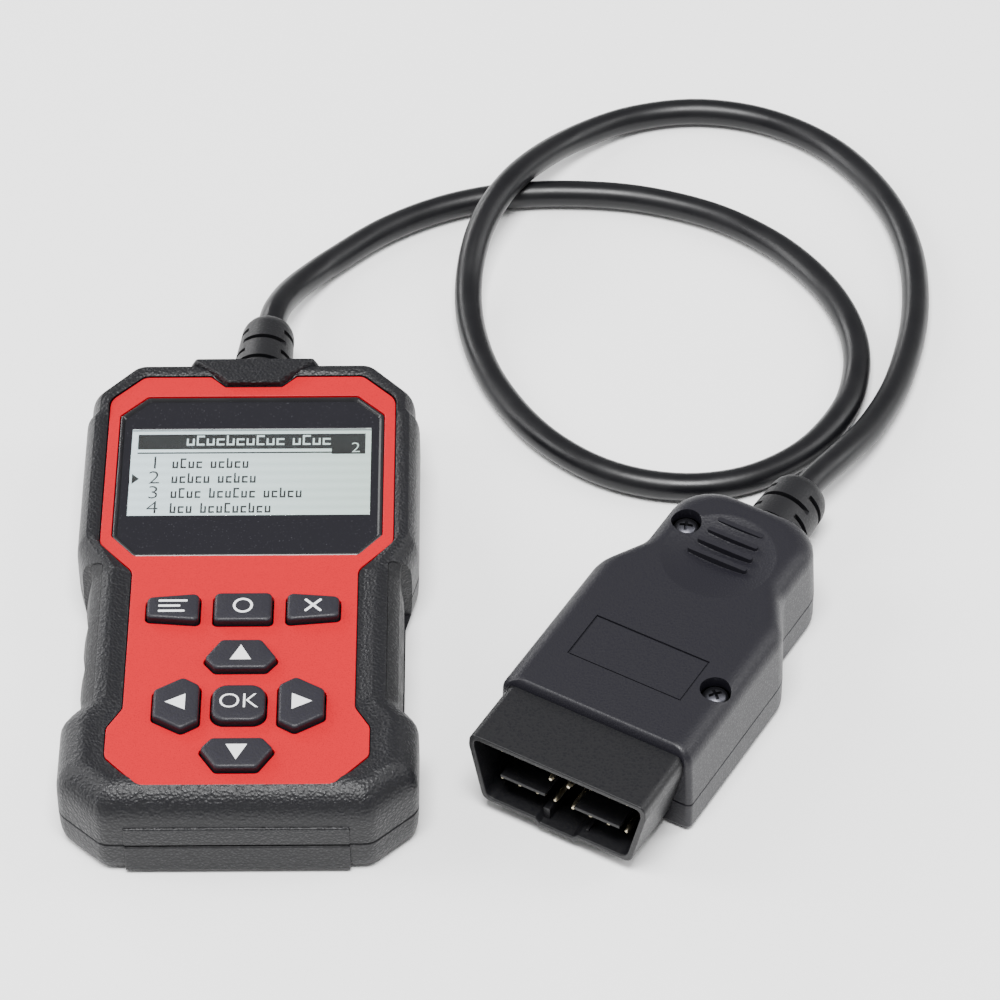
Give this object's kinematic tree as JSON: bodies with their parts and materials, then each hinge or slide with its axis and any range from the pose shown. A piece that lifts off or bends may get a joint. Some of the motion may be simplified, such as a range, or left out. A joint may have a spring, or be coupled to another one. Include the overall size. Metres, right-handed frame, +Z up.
{
  "type": "obd code reader",
  "caption": "Handheld diagnostic code reader: grained two-part case with a red face plate, small screen, raised keys and side grips, and a short cable to a wide flat socket plug.",
  "frame": {"origin": "on the surface the case lies on, under the middle of the case", "axes": "+X to the right of the keypad, +Y along the case towards the cable, +Z up out of the screen"},
  "size_m": [0.1811, 0.2297, 0.0223],
  "materials": {
    "shell_black": "satin black ABS, spark-eroded grain",
    "plate_red": "satin red painted polycarbonate",
    "window_clear": "clear polycarbonate window with a dark printed border",
    "key_charcoal": "fine matte charcoal plastic",
    "grip_rubber": "soft-touch rubber, coarse grain",
    "cable_pvc": "semi-gloss black PVC jacket",
    "relief_rubber": "matte black moulded PVC",
    "plug_black": "satin black ABS",
    "connector_black": "matte black glass-filled nylon",
    "pin_gold": "gold-flashed brass",
    "screw_black": "black zinc-plated steel",
    "screw_zinc": "zinc-plated steel",
    "board_green": "green solder mask",
    "chip_black": "moulded epoxy",
    "capacitor_can": "sleeved aluminium can",
    "crystal_can": "nickel-plated can",
    "connector_white": "natural nylon",
    "wire_red": "PVC insulation",
    "lcd_metal": "stamped steel bezel",
    "lcd_glass": "display glass",
    "backlight_white": "light guide",
    "ribbon_amber": "polyimide film",
    "mat_rubber": "silicone rubber",
    "dome_metal": "stainless domes",
    "label_white": "blank polyester label"
  },
  "bodies": {
    "root": {"front_shell": "shell_black", "back_shell": "shell_black", "face_plate": "plate_red", "screen_window": "window_clear", "lcd_frame": "lcd_metal", "lcd_glass": "lcd_glass", "lcd_backlight": "backlight_white", "lcd_ribbon": "ribbon_amber", "ribbon_socket": "connector_white", "main_board": "board_green", "processor": "chip_black", "memory_chip": "chip_black", "bus_driver": "chip_black", "voltage_regulator": "chip_black", "supply_coil": "chip_black", "filter_capacitors": "capacitor_can", "clock_crystal": "crystal_can", "buzzer": "chip_black", "cable_header": "connector_white", "crimp_housing": "connector_white", "inner_wires": "wire_red", "cable_tail": "cable_pvc", "cable_clamp": "connector_black", "clamp_screws": "screw_zinc", "board_screws": "screw_zinc", "case_screws": "screw_black", "keypad_mat": "mat_rubber", "key_domes": "dome_metal", "left_grip": "grip_rubber", "right_grip": "grip_rubber", "rating_label": "label_white", "handset_strain_relief": "relief_rubber", "cable": "cable_pvc", "plug_strain_relief": "relief_rubber", "plug_top_shell": "plug_black", "plug_bottom_shell": "plug_black", "plug_connector": "connector_black", "plug_pins": "pin_gold", "plug_screws": "screw_black", "plug_tail": "cable_pvc", "plug_wires": "wire_red"},
    "key_left_function": {"key_left_function": "key_charcoal"},
    "key_centre_function": {"key_centre_function": "key_charcoal"},
    "key_right_function": {"key_right_function": "key_charcoal"},
    "key_up": {"key_up": "key_charcoal"},
    "key_down": {"key_down": "key_charcoal"},
    "key_left": {"key_left": "key_charcoal"},
    "key_right": {"key_right": "key_charcoal"},
    "key_ok": {"key_ok": "key_charcoal"}
  },
  "joints": [
    {"name": "press_left_function", "type": "slide", "parent": "root", "child": "key_left_function", "axis": [0, 0, -1], "range_m": [0, 0.0008], "stiffness_N_per_m": 400},
    {"name": "press_centre_function", "type": "slide", "parent": "root", "child": "key_centre_function", "axis": [0, 0, -1], "range_m": [0, 0.0008], "stiffness_N_per_m": 400},
    {"name": "press_right_function", "type": "slide", "parent": "root", "child": "key_right_function", "axis": [0, 0, -1], "range_m": [0, 0.0008], "stiffness_N_per_m": 400},
    {"name": "press_up", "type": "slide", "parent": "root", "child": "key_up", "axis": [0, 0, -1], "range_m": [0, 0.0008], "stiffness_N_per_m": 400},
    {"name": "press_down", "type": "slide", "parent": "root", "child": "key_down", "axis": [0, 0, -1], "range_m": [0, 0.0008], "stiffness_N_per_m": 400},
    {"name": "press_left", "type": "slide", "parent": "root", "child": "key_left", "axis": [0, 0, -1], "range_m": [0, 0.0008], "stiffness_N_per_m": 400},
    {"name": "press_right", "type": "slide", "parent": "root", "child": "key_right", "axis": [0, 0, -1], "range_m": [0, 0.0008], "stiffness_N_per_m": 400},
    {"name": "press_ok", "type": "slide", "parent": "root", "child": "key_ok", "axis": [0, 0, -1], "range_m": [0, 0.0008], "stiffness_N_per_m": 400}
  ]
}
